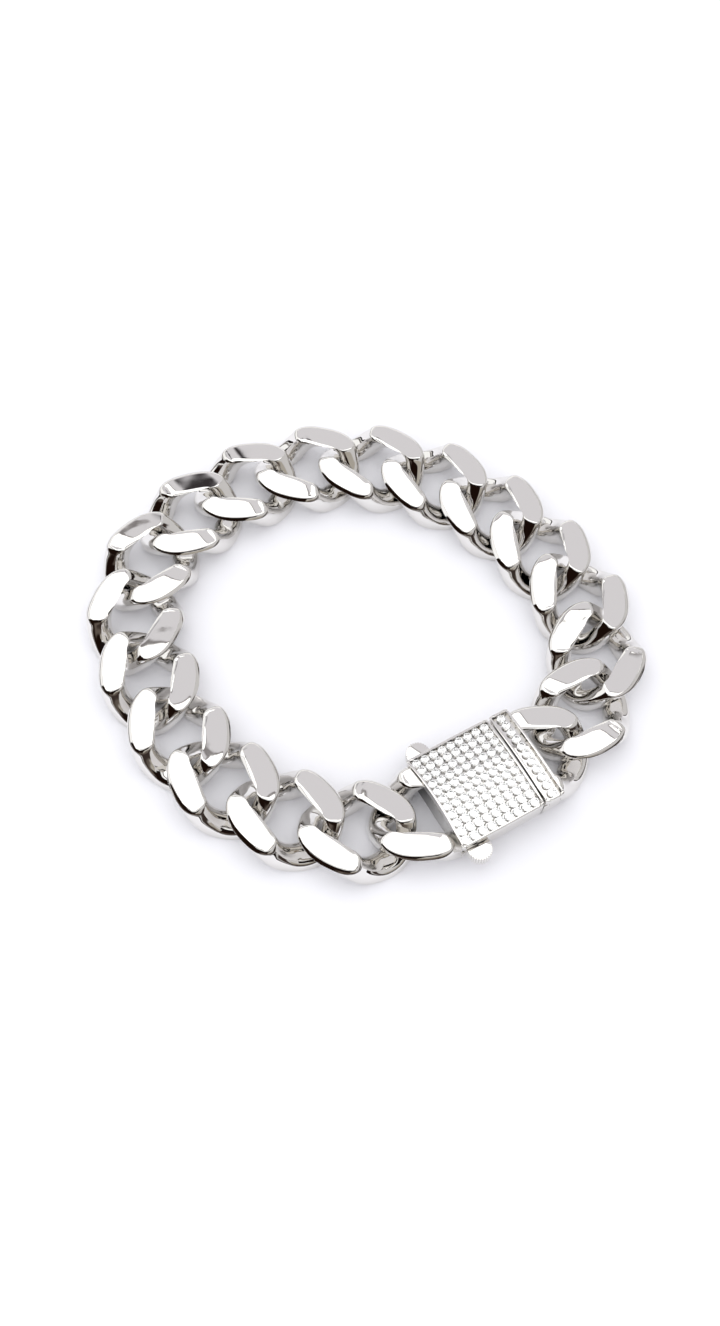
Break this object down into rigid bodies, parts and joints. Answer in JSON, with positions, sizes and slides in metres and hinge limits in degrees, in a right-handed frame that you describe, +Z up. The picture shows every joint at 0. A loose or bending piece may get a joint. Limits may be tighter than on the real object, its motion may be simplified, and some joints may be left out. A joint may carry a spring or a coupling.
{
  "type": "cuban link bracelet",
  "caption": "Closed curb chain bracelet of heavy polished links, lying in a loose loop, with a stone-set box clasp and side push buttons.",
  "frame": {"origin": "under the middle of the whole bracelet, on the surface that it lies on", "axes": "+Z up from the surface; +X to the right and +Y away from the viewer as it lies; the longest extent is along X"},
  "size_m": [0.0826, 0.0762, 0.0057],
  "materials": {
    "polished_metal": "mirror polished white metal",
    "stones": "clear faceted stones"
  },
  "bodies": {
    "bracelet": {"link_01": "polished_metal", "link_02": "polished_metal", "link_03": "polished_metal", "link_04": "polished_metal", "link_05": "polished_metal", "link_06": "polished_metal", "link_07": "polished_metal", "link_08": "polished_metal", "link_09": "polished_metal", "link_10": "polished_metal", "link_11": "polished_metal", "link_12": "polished_metal", "link_13": "polished_metal", "link_14": "polished_metal", "link_15": "polished_metal", "link_16": "polished_metal", "link_17": "polished_metal", "clasp_box": "polished_metal", "clasp_end": "polished_metal", "box_stones": "stones", "end_stones": "stones"},
    "near_button": {"push_button_near": "polished_metal"},
    "far_button": {"push_button_far": "polished_metal"}
  },
  "joints": [
    {"name": "near_button_press", "type": "slide", "parent": "bracelet", "child": "near_button", "axis": [-0.5, 0.866, 0], "range_m": [0, 0.001], "stiffness_N_per_m": 1500},
    {"name": "far_button_press", "type": "slide", "parent": "bracelet", "child": "far_button", "axis": [0.5, -0.866, 0], "range_m": [0, 0.001], "stiffness_N_per_m": 1500}
  ]
}
